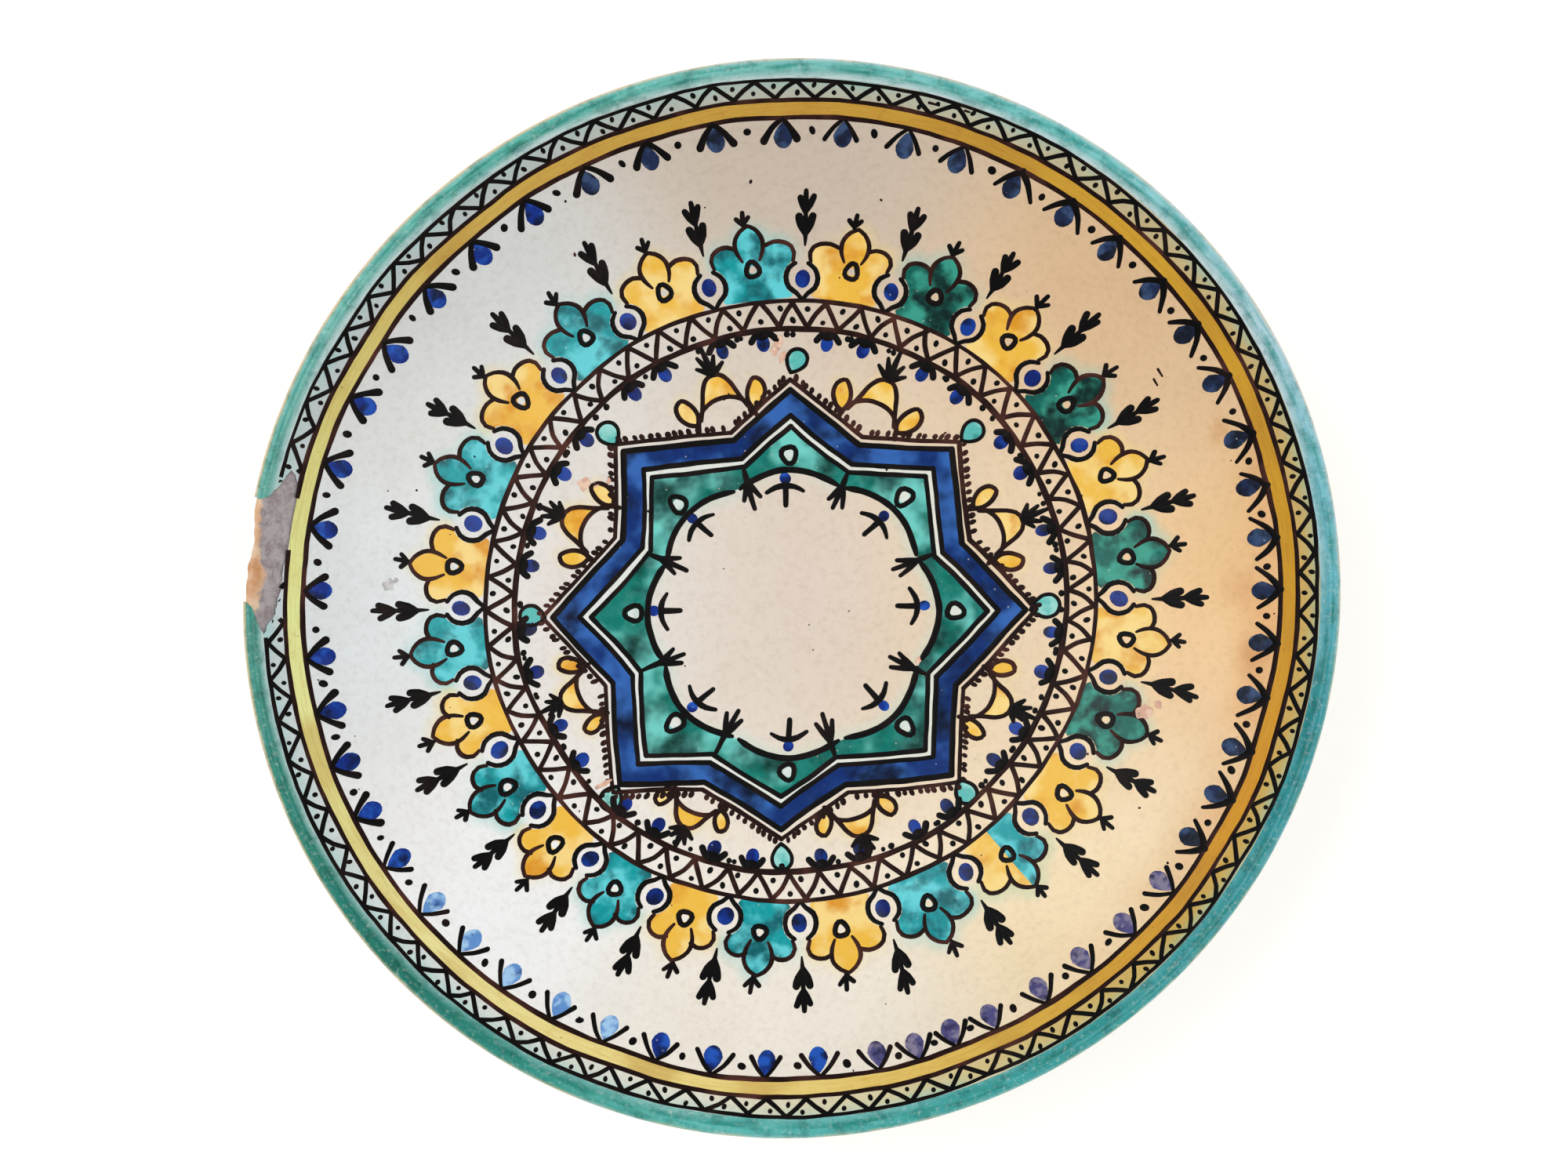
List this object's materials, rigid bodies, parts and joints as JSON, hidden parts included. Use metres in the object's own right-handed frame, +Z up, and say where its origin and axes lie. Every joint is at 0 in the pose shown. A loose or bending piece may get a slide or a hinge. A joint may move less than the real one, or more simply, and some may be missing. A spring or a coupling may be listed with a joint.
{
  "type": "painted ceramic dish",
  "caption": "Large round glazed earthenware dish with a foot ring, painted inside with a star, petal motifs and zigzag borders; one chip at the lip.",
  "frame": {"origin": "under the middle of the dish, on the plane that the foot ring stands on", "axes": "+Z up out of the dish, +Y towards the top of the painting, +X to its right"},
  "size_m": [0.383, 0.377, 0.07],
  "materials": {
    "biscuit_clay": "matt fired buff-orange earthenware",
    "cream_glaze": "glossy cream back glaze with pinholes",
    "white_glaze": "glossy white tin glaze, warm and slightly mottled",
    "turquoise_glaze": "glossy copper turquoise",
    "yellow_glaze": "glossy antimony yellow, brushed",
    "blue_glaze": "glossy cobalt blue, brushed",
    "green_glaze": "glossy copper green, pooled",
    "brown_line": "manganese brown-black brush line under glaze"
  },
  "bodies": {
    "root": {"dish_body": "biscuit_clay", "foot_ring": "biscuit_clay", "back_glaze": "cream_glaze", "face_glaze": "white_glaze", "rim_glaze": "turquoise_glaze", "yellow_band": "yellow_glaze", "blue_star_band": "blue_glaze", "green_star_field": "green_glaze"}
  },
  "joints": []
}
